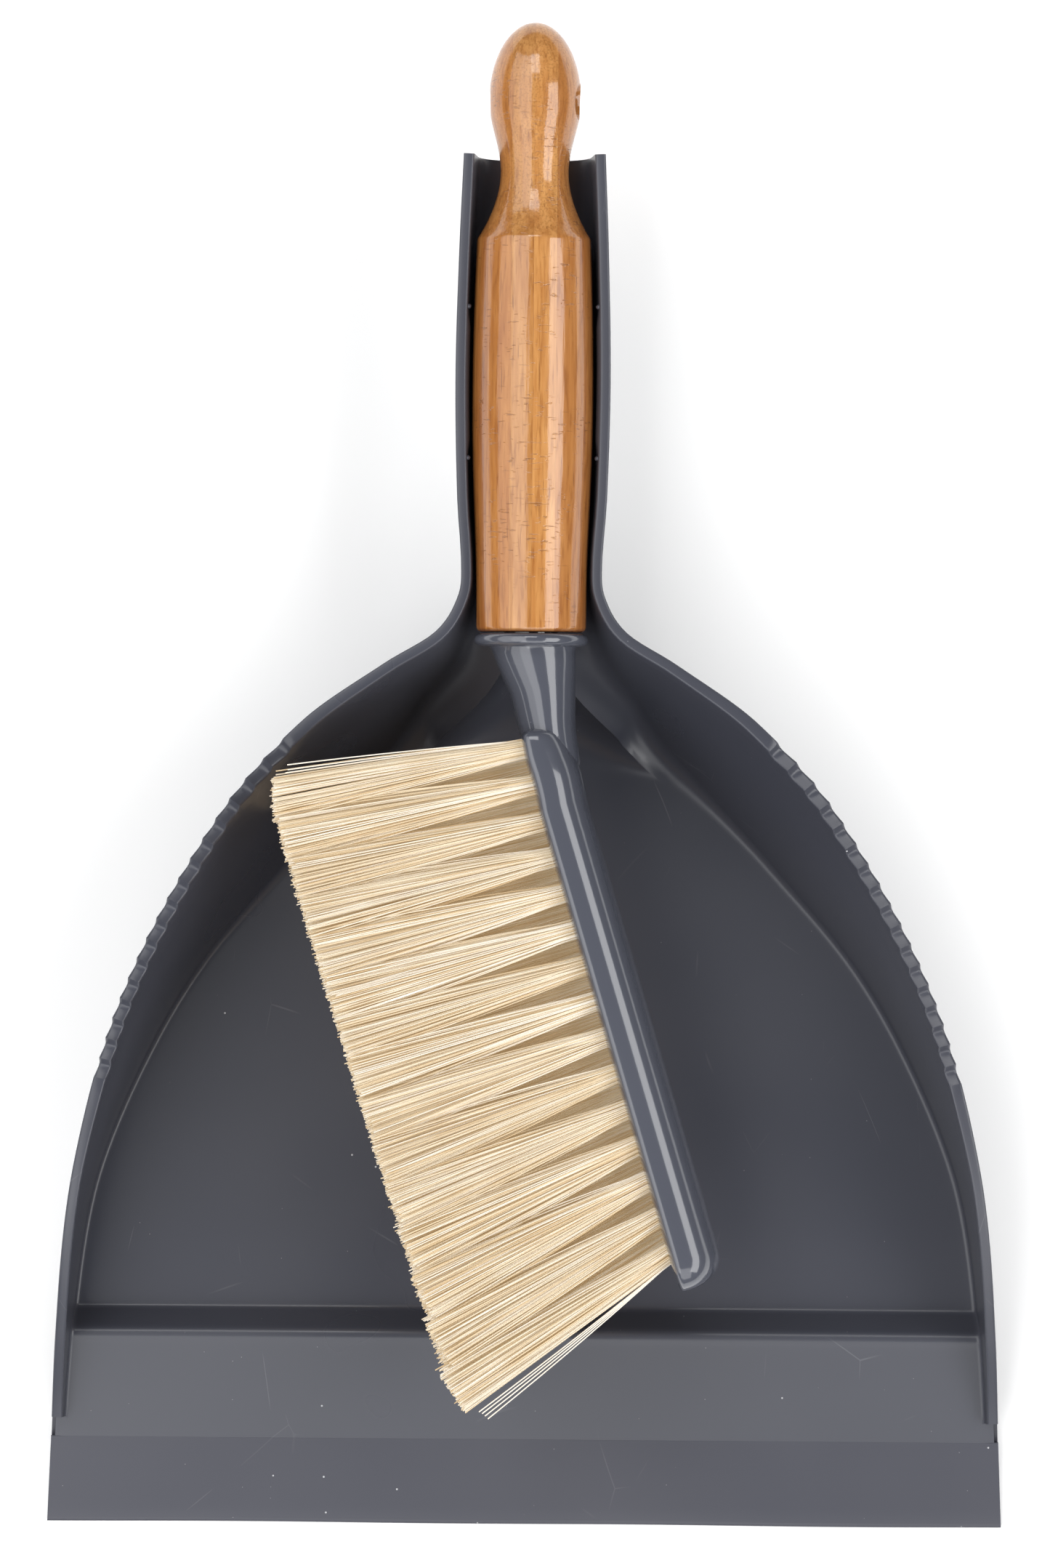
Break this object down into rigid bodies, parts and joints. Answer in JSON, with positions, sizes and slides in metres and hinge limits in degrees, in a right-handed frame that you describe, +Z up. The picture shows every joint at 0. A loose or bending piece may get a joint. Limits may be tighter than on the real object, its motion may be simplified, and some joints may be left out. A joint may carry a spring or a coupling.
{
  "type": "dustpan and brush",
  "caption": "Dustpan with a soft lip, a comb along its rim and an open channel handle that holds a hand brush with a turned wooden handle.",
  "frame": {"origin": "centre of the bounding box on the surface that the pan lies on", "axes": "+Y from the lip to the handle's tip, +Z up out of the pan, +X to the right seen from above with the lip nearest"},
  "size_m": [0.22, 0.3426, 0.0615],
  "materials": {
    "pan_plastic": "semi-gloss moulded slate grey",
    "lip_rubber": "soft satin slate grey",
    "head_plastic": "glossy moulded slate grey",
    "bamboo": "clear varnished laminated bamboo",
    "bristle": "cream synthetic filaments"
  },
  "bodies": {
    "pan": {"pan_shell": "pan_plastic", "lip_strip": "lip_rubber"},
    "brush": {"handle": "bamboo", "brush_head": "head_plastic", "tuft_a01": "bristle", "tuft_a02": "bristle", "tuft_a03": "bristle", "tuft_a04": "bristle", "tuft_a05": "bristle", "tuft_a06": "bristle", "tuft_a07": "bristle", "tuft_a08": "bristle", "tuft_a09": "bristle", "tuft_a10": "bristle", "tuft_a11": "bristle", "tuft_a12": "bristle", "tuft_a13": "bristle", "tuft_a14": "bristle", "tuft_a15": "bristle", "tuft_b01": "bristle", "tuft_b02": "bristle", "tuft_b03": "bristle", "tuft_b04": "bristle", "tuft_b05": "bristle", "tuft_b06": "bristle", "tuft_b07": "bristle", "tuft_b08": "bristle", "tuft_b09": "bristle", "tuft_b10": "bristle", "tuft_b11": "bristle", "tuft_b12": "bristle", "tuft_b13": "bristle", "tuft_b14": "bristle", "tuft_c01": "bristle", "tuft_c02": "bristle", "tuft_c03": "bristle", "tuft_c04": "bristle", "tuft_c05": "bristle", "tuft_c06": "bristle", "tuft_c07": "bristle", "tuft_c08": "bristle", "tuft_c09": "bristle", "tuft_c10": "bristle", "tuft_c11": "bristle", "tuft_c12": "bristle", "tuft_c13": "bristle", "tuft_c14": "bristle", "tuft_c15": "bristle"}
  },
  "joints": [
    {"name": "brush_lift", "type": "slide", "parent": "pan", "child": "brush", "axis": [0, 0, 1], "range_m": [0, 0.1]}
  ]
}
